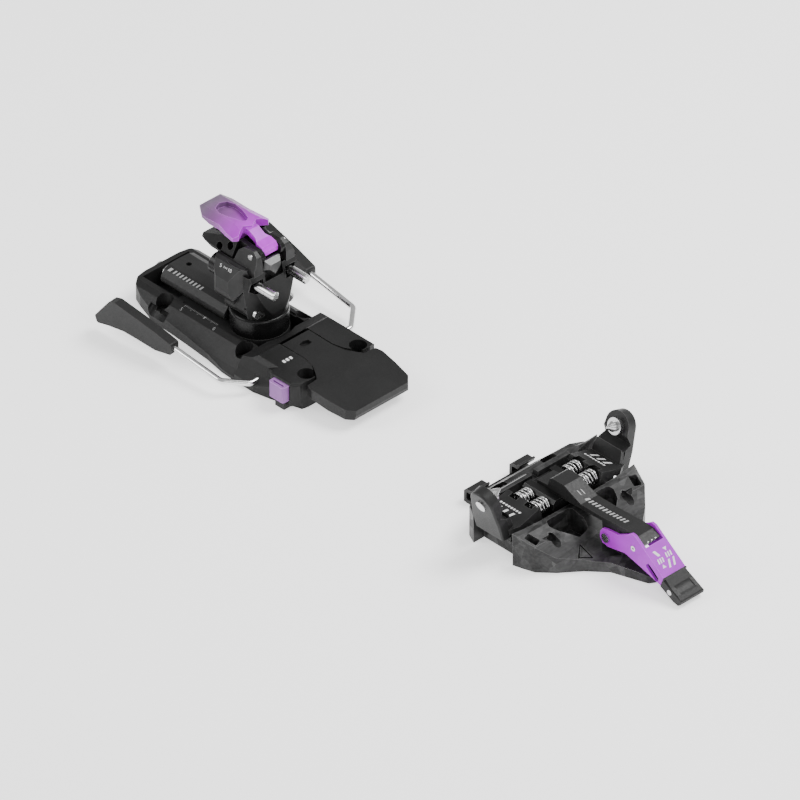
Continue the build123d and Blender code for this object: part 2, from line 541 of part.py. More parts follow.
def release_screw():
    """Left release adjuster, closing the barrel from behind."""
    body = rod_x(-44.6, -40, HEEL_PIN_Y, HEEL_PIN_Z, 6.15)
    return body - block(-45, -43.2, HEEL_PIN_Y - 4.4, HEEL_PIN_Y + 4.4, HEEL_PIN_Z - 0.8, HEEL_PIN_Z + 0.8)


def cam_block():
    """Five-sided cam set into the top of the tower's front."""
    face = [(0, 46.6), (6.2, 52.8), (5.2, 58), (-5.2, 58), (-6.2, 52.8)]
    root = Polyline(*[(CAM_SEAT_X, y, z) for y, z in face], close=True)
    nose = Polyline(*[(CAM_SEAT_X + 1.2, y, z) for y, z in face], close=True)
    body = extrude(make_face(root), amount=1.2, dir=(1, 0, 0))
    return body + extrude(make_face(nose), amount=2.8, dir=(1, 0, 0), taper=36)


def flap_pin():
    return rod_y(-12.1, 12.1, FLAP_X, FLAP_Z, FLAP_PIN_R)


def lower_flap():
    wide = [(-54, 0), (-53.5, 13.4), (-30.4, 13.4), (-29.6, 8), (-22.5, 8), (-22.5, 0)]
    body = half_plan(wide, 50, 80)
    body &= side([(-54.2, 59.2), (-53.4, 58.2), (-46, 55.7), (-34, 55.3), (-22, 55.3), (-22, 64), (-33, 65.6),
                  (-37.4, 65.3), (-53.4, 60.4)], -20, 20)
    body &= section([(0, 50), (13.4, 50), (13.4, 57.2), (9.6, 65.7), (0, 65.7)], -60, 0)
    body -= side([(-50, 62), (-47, 60.6), (-30, 60.6), (-30, 80), (-50, 80)], -7.4, 7.4)
    prongs = both(side([(-23, 56.4), (-20, 57.6), (-16.4, 57.4), (-13.9, 59), (-13.3, 61.6), (-14.5, 63.8),
                        (-17.6, 64.7), (-23, 64.6)], 5.5, 8))
    body -= block(-31, -10, -5.3, 5.3, 50, 80)
    body += prongs
    for x, z in ((-40.4, 58.6), (-33.6, 61.4)):
        body -= both(rod_y(7, 16, x, z, 2.1))
    body = soften(body, body.edges().filter_by(Axis.Y).group_by(Axis.X)[0], 0.4)
    return body - rod_y(-20, 20, FLAP_X, FLAP_Z, FLAP_PIN_R + RUN)


def upper_flap():
    body = half_plan([(-61, 0), (-61, 7.4), (-55.4, 11), (-43, 10.6), (-36, 12.2), (-30.4, 13), (-28.4, 10.6),
                      (-31.6, 4.6), (-29, 0)], 60, 90)
    crown = [(0, 67.6), (13.4, 66.0), (13.4, 67.8), (6.4, 71.9), (0, 72.5)]
    body &= section(crown, -62, -26)
    body &= side([(-62, 70.0), (-50, 66.4), (-26, 66.2), (-26, 70.4), (-33, 71.6), (-50, 73.4), (-60.5, 71.8)],
                 -20, 20)
    scoop = half_plan([(-54, 0), (-52.6, 4.2), (-48, 5.8), (-42, 4.8), (-34.6, 2.2), (-33.6, 0)], 69.4, 90)
    body -= soften(scoop, scoop.edges().filter_by(Axis.Z), 1.2)
    lobe = side([(-47.6, 67.8), (-47.2, 64), (-44, 62.4), (-33.6, 62.2), (-31.4, 67.8)], -6.8, 6.8)
    neck = side([(-35, 70.2), (-28, 69.8), (-21.5, 66.2), (-17, 64.9), (-15.4, 62.8), (-15.5, 60.2), (-17.2, 58.6),
                 (-19.8, 58.6), (-21.6, 61), (-25, 64.6), (-30, 66.6), (-35, 66.8)], -5, 5)
    neck &= half_plan([(-35, 0), (-35, 5), (-31, 3.4), (-23.4, 3.2), (-20.6, 5), (-13, 5), (-13, 0)], 50, 80)
    body += lobe + neck
    return body - rod_y(-20, 20, FLAP_X, FLAP_Z, FLAP_PIN_R + RUN)


TOE_PARTS = {
    "toe_base": toe_base,
    "crampon_receptacle": crampon_receptacle,
    "wing_axle_left": wing_axle,
    "wing_axle_right": lambda: mirrored_y(wing_axle()),
    "toe_wing_left": toe_wing,
    "toe_wing_right": lambda: mirrored_y(toe_wing()),
    "toe_pin_left": toe_pin,
    "toe_pin_right": lambda: mirrored_y(toe_pin()),
    "toe_springs_left": toe_springs,
    "toe_springs_right": lambda: mirrored_y(toe_springs()),
    "spring_guide_rods": spring_guide_rods,
    "spring_block": spring_block,
    "toe_pedal": toe_pedal,
    "pedal_pin": pedal_pin,
    "toe_lever": toe_lever,
    "lever_cheek_rivets": lever_cheek_rivets,
    "lever_grip": lever_grip,
    "lever_grip_pin": lever_grip_pin,
}
HEEL_PARTS = {
    "heel_base": heel_base,
    "brake_housing": brake_housing,
    "brake_lock_button": brake_lock_button,
    "brake_lock_spring": brake_lock_spring,
    "brake_wire_left": brake_wire,
    "brake_wire_right": lambda: mirrored_y(brake_wire()),
    "brake_paddle_left": brake_paddle,
    "brake_paddle_right": lambda: mirrored_y(brake_paddle()),
    "brake_treadle": brake_treadle,
    "heel_carriage": heel_carriage,
    "carriage_spring": carriage_spring,
    "turret_drum": turret_drum,
    "turret_post": turret_post,
    "adjuster_screw": adjuster_screw,
    "tower_housing": tower_housing,
    "tower_front_plate": tower_front_plate,
    "front_plate_screws": front_plate_screws,
    "heel_pin_left": heel_pin,
    "heel_pin_right": lambda: mirrored_y(heel_pin()),
    "release_springs": release_springs,
    "release_screw_left": release_screw,
    "release_screw_right": lambda: mirrored_y(release_screw()),
    "cam_block": cam_block,
    "flap_pin": flap_pin,
    "lower_flap": lower_flap,
    "upper_flap": upper_flap,
}

os.makedirs("parts", exist_ok=True)
for node, make in TOE_PARTS.items():
    export_step(make(), f"parts/{node}.step")
for node, make in HEEL_PARTS.items():
    export_step(Pos(HEEL_X, 0, 0) * make(), f"parts/{node}.step")
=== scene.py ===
"""Looks of the touring binding: materials, softened edges, coil springs and printed marks."""
import json
import math

import bmesh
import bpy
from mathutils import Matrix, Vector
from mathutils.bvhtree import BVHTree


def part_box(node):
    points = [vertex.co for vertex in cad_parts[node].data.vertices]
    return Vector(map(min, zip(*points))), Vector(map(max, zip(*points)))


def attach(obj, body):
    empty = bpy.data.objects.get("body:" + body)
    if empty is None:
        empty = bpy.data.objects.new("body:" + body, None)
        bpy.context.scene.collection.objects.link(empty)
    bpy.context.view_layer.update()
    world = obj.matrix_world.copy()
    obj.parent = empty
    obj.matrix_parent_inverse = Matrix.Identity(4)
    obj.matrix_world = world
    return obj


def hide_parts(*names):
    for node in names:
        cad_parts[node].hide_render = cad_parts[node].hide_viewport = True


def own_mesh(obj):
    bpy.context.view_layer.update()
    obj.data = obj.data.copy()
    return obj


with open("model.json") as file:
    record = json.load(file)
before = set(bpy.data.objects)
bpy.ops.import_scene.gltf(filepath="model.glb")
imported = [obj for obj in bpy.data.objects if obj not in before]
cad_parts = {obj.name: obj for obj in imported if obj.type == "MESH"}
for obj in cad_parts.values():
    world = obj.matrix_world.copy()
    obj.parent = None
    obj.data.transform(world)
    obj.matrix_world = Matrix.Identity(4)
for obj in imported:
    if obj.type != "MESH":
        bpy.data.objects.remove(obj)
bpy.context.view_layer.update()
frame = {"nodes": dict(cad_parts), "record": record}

MM = 0.001
HEEL_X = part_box("heel_pin_left")[1][0]      # heel pin tips, along the ski
NODES = frame["nodes"]
BODY_OF = {node: body
           for body, nodes in frame["record"]["behaviour"]["bodies"].items() for node in nodes}
SIDES = ((-1, "right"), (1, "left"))        # sign of Y, and the word in the names
X = Vector((1, 0, 0))
Y = Vector((0, 1, 0))
Z = Vector((0, 0, 1))

# ---------------------------------------------------------------- camera, lights and floor

AZIMUTH = 46.0
ELEVATION = 35.5
DISTANCE = 6.17
LENS = 540.0
TARGET = Vector((-0.1285, 0.0161, 0.0))     # point that the camera and the lights aim at
WORLD_STRENGTH = 0.60
LIGHTS = (      # name, azimuth, elevation, distance in m, size in m, power in W
    ("key", 150, 58, 1.4, 0.8, 22),
    ("side", -40, 35, 1.5, 0.8, 9),
    ("front", 70, 30, 1.6, 0.7, 6),
)
FLOOR_REACH = 6.0
FLOOR_GLOW = 0.9


def back_vector(azimuth, elevation):
    """Direction from the object to a camera; azimuth 0 looks along +Y."""
    a = math.radians(azimuth)
    e = math.radians(elevation)
    return Vector((math.sin(a) * math.cos(e), -math.cos(a) * math.cos(e), math.sin(e)))


def aim(obj, target):
    obj.rotation_euler = (target - obj.location).to_track_quat("-Z", "Y").to_euler()


def make_camera():
    data = bpy.data.cameras.new("camera")
    data.lens = LENS
    data.sensor_width = 36.0
    data.clip_end = 50.0
    camera = bpy.data.objects.new("camera", data)
    bpy.context.collection.objects.link(camera)
    camera.location = TARGET + back_vector(AZIMUTH, ELEVATION) * DISTANCE
    aim(camera, TARGET)
    bpy.context.scene.camera = camera


def area_light(name, azimuth, elevation, distance, size, power):
    data = bpy.data.lights.new(name, "AREA")
    data.shape = "DISK"
    data.size = size
    data.energy = power
    light = bpy.data.objects.new(name, data)
    bpy.context.collection.objects.link(light)
    light.location = TARGET + back_vector(azimuth, elevation) * distance
    aim(light, TARGET)


def make_stage():
    world = bpy.data.worlds.new("studio")
    world.use_nodes = True
    background = world.node_tree.nodes["Background"]
    background.inputs["Color"].default_value = (1.0, 1.0, 1.0, 1.0)
    background.inputs["Strength"].default_value = WORLD_STRENGTH
    bpy.context.scene.world = world
    for light in LIGHTS:
        area_light(*light)
    mesh = bpy.data.meshes.new("floor")
    reach = FLOOR_REACH
    corners = [(-reach, -reach, 0), (reach, -reach, 0), (reach, reach, 0), (-reach, reach, 0)]
    mesh.from_pydata(corners, [], [(0, 1, 2, 3)])
    floor = bpy.data.objects.new("floor", mesh)
    bpy.context.collection.objects.link(floor)
    paint = bpy.data.materials.new("pale_floor")
    paint.use_nodes = True
    shader = paint.node_tree.nodes["Principled BSDF"]
    shader.inputs["Base Color"].default_value = (0.96, 0.96, 0.96, 1)
    shader.inputs["Roughness"].default_value = 0.85
    shader.inputs["Emission Color"].default_value = (1, 1, 1, 1)
    shader.inputs["Emission Strength"].default_value = FLOOR_GLOW
    mesh.materials.append(paint)


# ---------------------------------------------------------------- materials

# Noise and cell scales, in features for each metre
CLOUDS = 120
FINE_GRAIN = 2600
BLAST_GRAIN = 5200
RIM_WEAR_AND_HIGHLIGHT = 0.35 * MM       # width of the paler rim on metal: rubbed wear and painted highlight


class Paint:
    """A node material that is put together a step at a time."""

    def __init__(self, name, roughness, metallic=0.0, gloss=0.5):
        self.material = bpy.data.materials.new(name)
        self.material.use_nodes = True
        self.tree = self.material.node_tree
        self.shader = self.tree.nodes["Principled BSDF"]
        self.shader.inputs["Metallic"].default_value = metallic
        self.shader.inputs["Roughness"].default_value = roughness
        self.shader.inputs["Specular IOR Level"].default_value = gloss
        self.place = self.node("ShaderNodeTexCoord").outputs["Object"]

    def node(self, kind, **settings):
        made = self.tree.nodes.new(kind)
        for key, value in settings.items():
            setattr(made, key, value)
        return made

    def link(self, source, target):
        self.tree.links.new(source, target)

    def stretched(self, stretch):
        """Object coordinates, scaled along each axis."""
        spread = self.node("ShaderNodeMapping")
        spread.inputs["Scale"].default_value = stretch
        self.link(self.place, spread.inputs["Vector"])
        return spread.outputs["Vector"]

    def noise(self, scale, detail, distortion=0.0, stretch=(1, 1, 1)):
        cloud = self.node("ShaderNodeTexNoise")
        cloud.inputs["Scale"].default_value = scale
        cloud.inputs["Detail"].default_value = detail
        cloud.inputs["Distortion"].default_value = distortion
        self.link(self.stretched(stretch), cloud.inputs["Vector"])
        return cloud.outputs["Fac"]

    def cells(self, scale, stretch=(1, 1, 1), output="Distance"):
        cell = self.node("ShaderNodeTexVoronoi")
        cell.inputs["Scale"].default_value = scale
        self.link(self.stretched(stretch), cell.inputs["Vector"])
        return cell.outputs[output]

    def ramp(self, source, stops):
        """Colour from a value; stops are (position, colour) pairs, lowest first."""
        ramp = self.node("ShaderNodeValToRGB")
        elements = ramp.color_ramp.elements
        for element, (position, color) in zip(elements, (stops[0], stops[-1])):
            element.position = position
            element.color = color
        for position, color in stops[1:-1]:
            elements.new(position).color = color
        self.link(source, ramp.inputs["Fac"])
        return ramp.outputs["Color"]

    def mix(self, factor, first, second, mode="MIX"):
        """Colour mix; each input is a plain value or the output of another node."""
        mix = self.node("ShaderNodeMix", data_type="RGBA", blend_type=mode)
        factor_in, first_in, second_in, color_out = 0, 6, 7, 2      # the node's colour sockets
        for value, place in ((factor, factor_in), (first, first_in), (second, second_in)):
            if isinstance(value, (float, tuple)):
                mix.inputs[place].default_value = value
            else:
                self.link(value, mix.inputs[place])
        return mix.outputs[color_out]

    def span(self, source, low, high, start=0.3, end=0.7):
        """Map start..end of a value to low..high."""
        spread = self.node("ShaderNodeMapRange")
        spread.inputs["From Min"].default_value = start
        spread.inputs["From Max"].default_value = end
        spread.inputs["To Min"].default_value = low
        spread.inputs["To Max"].default_value = high
        self.link(source, spread.inputs["Value"])
        return spread.outputs["Result"]

    def edges(self, radius=0.45 * MM, start=0.985, end=0.90):
        """Mask of convex and concave edges: where a rounded normal leaves the real one."""
        bevel = self.node("ShaderNodeBevel", samples=6)
        bevel.inputs["Radius"].default_value = radius
        geometry = self.node("ShaderNodeNewGeometry")
        dot = self.node("ShaderNodeVectorMath", operation="DOT_PRODUCT")
        self.link(bevel.outputs["Normal"], dot.inputs[0])
        self.link(geometry.outputs["Normal"], dot.inputs[1])
        return self.span(dot.outputs["Value"], 0.0, 1.0, start, end)

    def color(self, source):
        self.link(source, self.shader.inputs["Base Color"])

    def roughness(self, source):
        self.link(source, self.shader.inputs["Roughness"])

    def bump(self, source, distance, strength=1.0, after=None):
        bump = self.node("ShaderNodeBump")
        bump.inputs["Distance"].default_value = distance
        bump.inputs["Strength"].default_value = strength
        self.link(source, bump.inputs["Height"])
        if after is not None:
            self.link(after, bump.inputs["Normal"])
        self.link(bump.outputs["Normal"], self.shader.inputs["Normal"])
        return bump.outputs["Normal"]


def grey(value):
    return (value, value, value, 1.0)


def moulded_plastic(name, dark, light, rough=0.42):
    """Glass-filled nylon: fine sparkle grain, faint flow clouds, and edges lightened as rubbed wear
    and as a painted highlight.
    """
    paint = Paint(name, rough, gloss=0.22)
    flow = paint.noise(CLOUDS / 2, 3, 0.8)
    base = paint.ramp(flow, [(0.3, dark), (0.7, light)])
    grain = paint.noise(BLAST_GRAIN, 2)
    sparkle = paint.ramp(grain, [(0.42, grey(0.0)), (0.78, grey(0.05))])
    base = paint.mix(0.35, base, sparkle, "ADD")
    # edges lightened: partly rubbed wear, partly a painted highlight
    wear_and_highlight = paint.mix(1.0, base, grey(2.1), "MULTIPLY")
    paint.color(paint.mix(paint.edges(), base, wear_and_highlight))
    paint.roughness(paint.span(paint.noise(900, 3), rough - 0.06, rough + 0.08))
    first = paint.bump(grain, 0.05 * MM, 0.5)
    paint.bump(paint.noise(1500, 2), 0.04 * MM, 0.35, first)
    return paint.material


def anodised(name, base, light, edge, rough=0.36, metallic=0.75):
    """Bead-blasted and anodised aluminium, a little paler along its edges, as rubbed wear and as a
    painted highlight.
    """
    paint = Paint(name, rough, metallic, 0.25)
    cloud = paint.noise(110, 3, 0.3)
    tone = paint.ramp(cloud, [(0.35, base), (0.68, light)])
    # paler edge colour: rubbed wear and painted highlight
    paint.color(paint.mix(paint.edges(RIM_WEAR_AND_HIGHLIGHT), tone, edge))
    paint.roughness(paint.span(paint.noise(FINE_GRAIN, 3), rough - 0.07, rough + 0.09))
    paint.bump(paint.cells(BLAST_GRAIN), 0.03 * MM, 0.45)
    return paint.material


def marbled_carbon(name):
    """Chopped-fibre carbon compound: chips in several greys under soft clouds and long fibres."""
    paint = Paint(name, 0.40, gloss=0.25)
    chip_scale = 150
    warp = paint.noise(chip_scale, 3, 1.2)
    chips = paint.cells(chip_scale, (1.0, 0.55, 1.0), "Color")
    split = paint.node("ShaderNodeSeparateColor")
    paint.link(chips, split.inputs["Color"])
    greys = [(0.0, grey(0.011)), (0.45, grey(0.019)), (0.8, grey(0.034)), (1.0, grey(0.052))]
    tone = paint.ramp(split.outputs["Red"], greys)
    cloud = paint.ramp(warp, [(0.32, grey(0.45)), (0.66, grey(1.45))])
    tone = paint.mix(1.0, tone, cloud, "MULTIPLY")
    fibre = paint.noise(900, 3, 0.4, (1.0, 0.12, 1.0))
    threads = paint.ramp(fibre, [(0.4, grey(0.0)), (0.75, grey(0.035))])
    tone = paint.mix(0.5, tone, threads, "ADD")
    # lighter grey along the edges: wear and painted highlight
    paint.color(paint.mix(paint.edges(), tone, grey(0.09)))
    paint.roughness(paint.span(split.outputs["Green"], 0.30, 0.50, 0.0, 1.0))
    first = paint.bump(fibre, 0.03 * MM, 0.35)
    paint.bump(paint.noise(2200, 2), 0.03 * MM, 0.3, first)
    return paint.material


def steel(name, tone, rough, lines=(1, 1, 1), line_scale=1500):
    """Machined steel with fine turning lines, stretched by lines, and a cloudy tone."""
    paint = Paint(name, rough, 1.0)
    cut = paint.noise(line_scale, 2, 0.0, lines)
    base = paint.ramp(paint.noise(240, 3), [(0.35, grey(tone * 0.86)), (0.65, grey(tone))])
    paint.color(paint.mix(paint.span(cut, 0.0, 0.35), base, grey(tone * 0.78)))
    paint.roughness(paint.span(cut, rough - 0.03, rough + 0.08))
    paint.bump(cut, 0.002 * MM, 0.25)
    return paint.material


def purple_flap(name):
    """Violet anodising that fades to pale lilac towards the rear tip."""
    paint = Paint(name, 0.36, gloss=0.3)
    split = paint.node("ShaderNodeSeparateXYZ")
    paint.link(paint.place, split.inputs["Vector"])
    pale_end, violet_end = HEEL_X - 58 * MM, HEEL_X - 26 * MM
    along = paint.span(split.outputs["X"], 0.0, 1.0, pale_end, violet_end)
    tone = paint.ramp(along, [(0.0, (0.14, 0.10, 0.155, 1)), (0.35, (0.23, 0.07, 0.27, 1)),
                              (1.0, (0.52, 0.002, 0.70, 1))])
    cloud = paint.ramp(paint.noise(CLOUDS, 3, 0.4), [(0.35, grey(0.86)), (0.68, grey(1.12))])
    tone = paint.mix(1.0, tone, cloud, "MULTIPLY")
    # paler violet along the edges: rubbed wear and painted highlight
    paint.color(paint.mix(paint.edges(RIM_WEAR_AND_HIGHLIGHT), tone, (0.66, 0.22, 0.78, 1)))
    paint.roughness(paint.span(paint.noise(FINE_GRAIN, 3), 0.28, 0.44))
    paint.bump(paint.cells(BLAST_GRAIN), 0.03 * MM, 0.4)
    return paint.material


def print_ink(name, tone):
    """Pad-printed ink, slightly broken by the grain under it. Near black, it is also painted shade
    inside sockets.
    """
    paint = Paint(name, 0.55)
    speck = paint.noise(6000, 2)
    paint.color(paint.ramp(speck, [(0.25, grey(tone * 0.7)), (0.45, grey(tone))]))
    paint.bump(speck, 0.01 * MM, 0.5)
    return paint.material


def make_materials():
    """Every material by its own name: its recipe, and what the recipe is given after the name."""
    violet = (0.36, 0.006, 0.52, 1)
    light_violet = (0.42, 0.012, 0.60, 1)
    # edge colour of the violet parts: rubbed wear and painted highlight
    rubbed_and_lit_violet = (0.60, 0.10, 0.78, 1)
    lilac = (0.24, 0.10, 0.30, 1)
    light_lilac = (0.30, 0.13, 0.37, 1)
    recipes = {
        "carbon_plastic": (marbled_carbon,),
        "black_plastic": (moulded_plastic, grey(0.009), grey(0.014)),
        "heel_plastic": (moulded_plastic, grey(0.0055), grey(0.0095)),
        "box_plastic": (moulded_plastic, grey(0.012), grey(0.019), 0.38),
        "black_aluminium": (anodised, grey(0.014), grey(0.022), grey(0.09)),
        "wing_aluminium": (anodised, grey(0.024), grey(0.034), grey(0.10), 0.40, 0.5),
        "gloss_black": (anodised, grey(0.008), grey(0.012), grey(0.20), 0.22, 0.3),
        "grey_aluminium": (anodised, grey(0.07), grey(0.09), grey(0.20)),
        "purple_aluminium": (anodised, violet, light_violet, rubbed_and_lit_violet, 0.38, 0.0),
        "purple_flap": (purple_flap,),
        "lilac_plastic": (moulded_plastic, lilac, light_lilac, 0.5),
        "bright_steel": (steel, 0.62, 0.22),
        "wire_steel": (steel, 0.80, 0.16, (0.1, 1, 1)),
        "plain_steel": (steel, 0.52, 0.30),
        "spring_steel": (steel, 0.60, 0.20, (1, 1, 1), 2500),
        "ink": (print_ink, 0.78),
        "faint_ink": (print_ink, 0.36),
        # painted shade: near-black film for the dark inside of screw sockets and rivet eyes
        "painted_socket_shade": (print_ink, 0.02),
    }
    return {name: recipe(name, *values) for name, (recipe, *values) in recipes.items()}


# ---------------------------------------------------------------- CAD nodes

NODES_OF = {        # material: the nodes that have it; every other node is bright_steel
    "carbon_plastic": ("toe_base",),
    "wing_aluminium": ("crampon_receptacle", "toe_wing_left", "toe_wing_right", "tower_housing"),
    "black_aluminium": ("tower_front_plate", "lower_flap", "spring_block"),
    "gloss_black": ("turret_drum", "release_screw_left", "release_screw_right"),
    "grey_aluminium": ("cam_block",),
    "heel_plastic": ("heel_base", "brake_housing", "brake_treadle"),
    "black_plastic": ("brake_paddle_left", "brake_paddle_right", "lever_grip", "toe_pedal"),
    "box_plastic": ("heel_carriage",),
    "purple_aluminium": ("toe_lever",),
    "purple_flap": ("upper_flap",),
    "lilac_plastic": ("brake_lock_button",),
    "wire_steel": ("brake_wire_left", "brake_wire_right"),
    "plain_steel": ("wing_axle_left", "wing_axle_right", "turret_post", "spring_guide_rods",
                    "flap_pin"),
    "spring_steel": ("toe_springs_left", "toe_springs_right", "brake_lock_spring",
                     "carriage_spring", "release_springs"),
}
FINISH = {node: paint for paint, nodes in NODES_OF.items() for node in nodes}
EDGE_MM = {"toe_base": 0.5, "heel_base": 0.5, "brake_housing": 0.5, "brake_treadle": 0.5,
           "tower_housing": 0.35, "toe_wing_left": 0.4, "toe_wing_right": 0.4, "heel_carriage": 0.4}
OTHER_EDGE_MM = 0.25
FLAT_WITHIN = math.radians(0.6)     # faces that differ by less are merged into one
SHARP_FROM = math.radians(32)       # edges that turn by more are softened


def finish_nodes(paints):
    """Give every CAD node its material, and round its edges without moving its faces."""
    for name, node in NODES.items():
        node.data.materials.clear()
        node.data.materials.append(paints[FINISH.get(name, "bright_steel")])
        merge = node.modifiers.new("merge", "DECIMATE")
        merge.decimate_type = "DISSOLVE"
        merge.angle_limit = FLAT_WITHIN
        bevel = node.modifiers.new("edges", "BEVEL")
        bevel.width = EDGE_MM.get(name, OTHER_EDGE_MM) * MM
        bevel.segments = 2
        bevel.limit_method = "ANGLE"
        bevel.angle_limit = SHARP_FROM
        bevel.use_clamp_overlap = False
        for face in node.data.polygons:
            face.use_smooth = True
        smooth = node.modifiers.new("shade", "WEIGHTED_NORMAL")
        smooth.keep_sharp = True


# ---------------------------------------------------------------- pieces made here

def add_mesh(name, mesh, paint, body):
    """Put a finished mesh on a body, in the row frame."""
    piece = bpy.data.objects.new(name, mesh)
    bpy.context.collection.objects.link(piece)
    mesh.materials.append(PAINTS[paint])
    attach(piece, body)
    return piece


def tube(points, radius, sides=12):
    """Mesh tube along a list of points, with flat ends. Its rings are carried without twist."""
    built = bmesh.new()
    rings = []
    last = len(points) - 1
    across = (points[1] - points[0]).orthogonal().normalized()
    for i, point in enumerate(points):
        ahead = (points[min(i + 1, last)] - points[max(i - 1, 0)]).normalized()
        across = (across - ahead * across.dot(ahead)).normalized()
        over = ahead.cross(across)
        ring = []
        for k in range(sides):
            a = 2 * math.pi * k / sides
            spoke = across * math.cos(a) + over * math.sin(a)
            ring.append(built.verts.new(point + spoke * radius))
        rings.append(ring)
    for first, second in zip(rings, rings[1:]):
        for k in range(sides):
            following = (k + 1) % sides
            built.faces.new((first[k], first[following], second[following], second[k]))
    built.faces.new(list(reversed(rings[0])))
    built.faces.new(rings[-1])
    bmesh.ops.recalc_face_normals(built, faces=built.faces)
    for face in built.faces:
        face.smooth = len(face.verts) == 4
    mesh = bpy.data.meshes.new("tube")
    built.to_mesh(mesh)
    built.free()
    return mesh


CLOSED_TURNS = 0.8      # at each end of a coil
CLOSED_RISE = 0.07      # share of the coil's length that a closed end takes
POINTS_PER_TURN = 28


def coil_points(start, end, radius, turns):
    """Helix from start to end with its end turns closed, as on a compression spring."""
    axis = end - start
    turn = axis.to_track_quat("Z", "Y").to_matrix()
    points = []
    steps = int(turns * POINTS_PER_TURN)
    for i in range(steps + 1):
        lap = i / steps * turns
        live = min(max((lap - CLOSED_TURNS) / (turns - 2 * CLOSED_TURNS), 0.0), 1.0)
        rise = CLOSED_RISE * min(lap, CLOSED_TURNS) / CLOSED_TURNS
        rise += (1 - 2 * CLOSED_RISE) * live
        rise += CLOSED_RISE * max(0.0, lap - (turns - CLOSED_TURNS)) / CLOSED_TURNS
        a = 2 * math.pi * lap
        spoke = turn @ Vector((math.cos(a) * radius, math.sin(a) * radius, 0))
        points.append(start + axis * rise + spoke)
    return points


def join_meshes(meshes):
    joined = bmesh.new()
    for mesh in meshes:
        joined.from_mesh(mesh)
        bpy.data.meshes.remove(mesh)
    mesh = bpy.data.meshes.new("joined")
    joined.to_mesh(mesh)
    joined.free()
    return mesh


def wire_coils(name, node, body, axis, wire, turns, count=1):
    """Wire coils along X or Y in the place of a CAD node of one or two envelopes side by side."""
    low, high = (Vector(corner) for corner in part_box(node))
    middle = (low + high) / 2
    outer = (high.z - low.z) / 2
    along, aside = (0, 1) if axis == "X" else (1, 0)
    centres = [middle[aside]] if count == 1 else [low[aside] + outer, high[aside] - outer]
    meshes = []
    for centre in centres:
        start = middle.copy()
        start[aside] = centre
        end = start.copy()
        start[along] = low[along] + wire
        end[along] = high[along] - wire
        meshes.append(tube(coil_points(start, end, outer - wire, turns), wire))
    piece = add_mesh(name, join_meshes(meshes), "spring_steel", body)
    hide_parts(node)
    return piece


def make_springs():
    size = (0.5 * MM, 4.6)      # wire and turns
    left = wire_coils("toe_coils_left", "toe_springs_left", "spring_carrier", "Y", *size, 2)
    right = wire_coils("toe_coils_right", "toe_springs_right", "spring_carrier", "Y", *size, 2)
    for coils, joint, node in ((left, "wing_left_swing", "toe_springs_left"),
                               (right, "wing_right_swing", "toe_springs_right")):
        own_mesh(coils)
    long_coil = wire_coils("carriage_coil", "carriage_spring", "heel_unit", "X", 0.55 * MM, 9.0)
    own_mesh(long_coil)
    lock_coil = wire_coils("lock_coil", "brake_lock_spring", "heel_unit", "Y", 0.32 * MM, 6.0)
    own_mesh(lock_coil)
    wire_coils("release_coils", "release_springs", "heel_tower", "X", 0.7 * MM, 3.2, 2)


# ---------------------------------------------------------------- printed marks, and painted shade in sockets

INK_LIFT = 0.035 * MM       # top of the ink above the surface
INK_THICKNESS = 0.07 * MM
RAY_START = 40 * MM         # a mark is cast onto its surface from this far outside
CELL_MM = 0.6               # largest cell of a mark


def bars(count, pitch, width, height, slant=0.0, low=0.0):
    """Row of slanted bars as (u, v) corners in mm, centred on u."""
    row = []
    start = -pitch * (count - 1) / 2 - width / 2
    for i in range(count):
        u = start + pitch * i
        top = low + height
        row.append([(u, low), (u + width, low), (u + width + slant, top), (u + slant, top)])
    return row


def shifted(shapes, u, v):
    return [[(a + u, b + v) for a, b in shape] for shape in shapes]


def hexagon(radius):
    angles = [math.radians(60 * k) for k in range(6)]
    return [(radius * math.cos(a), radius * math.sin(a)) for a in angles]


def numeral(text, size):
    """Faces of a number in the built-in font, as lists of (u, v) corners in mm."""
    curve = bpy.data.curves.new("numeral", "FONT")
    curve.body = text
    curve.size = size
    curve.align_x = "CENTER"
    holder = bpy.data.objects.new("numeral", curve)
    bpy.context.collection.objects.link(holder)
    bpy.context.view_layer.update()
    drawn = holder.evaluated_get(bpy.context.evaluated_depsgraph_get()).to_mesh()
    faces = [[tuple(drawn.vertices[i].co.xy) for i in face.vertices] for face in drawn.polygons]
    bpy.data.objects.remove(holder)
    bpy.data.curves.remove(curve)
    return faces


def split_shape(shape):
    """Cut a four-cornered shape into small cells, so that it can follow a curved face."""
    if len(shape) != 4:
        return [shape]
    a, b, c, d = (Vector(corner) for corner in shape)
    across = max(1, math.ceil((b - a).length / CELL_MM))
    along = max(1, math.ceil((d - a).length / CELL_MM))

    def point(i, j):
        low = a.lerp(b, i / across)
        high = d.lerp(c, i / across)
        return tuple(low.lerp(high, j / along))

    return [[point(i, j), point(i + 1, j), point(i + 1, j + 1), point(i, j + 1)]
            for i in range(across) for j in range(along)]


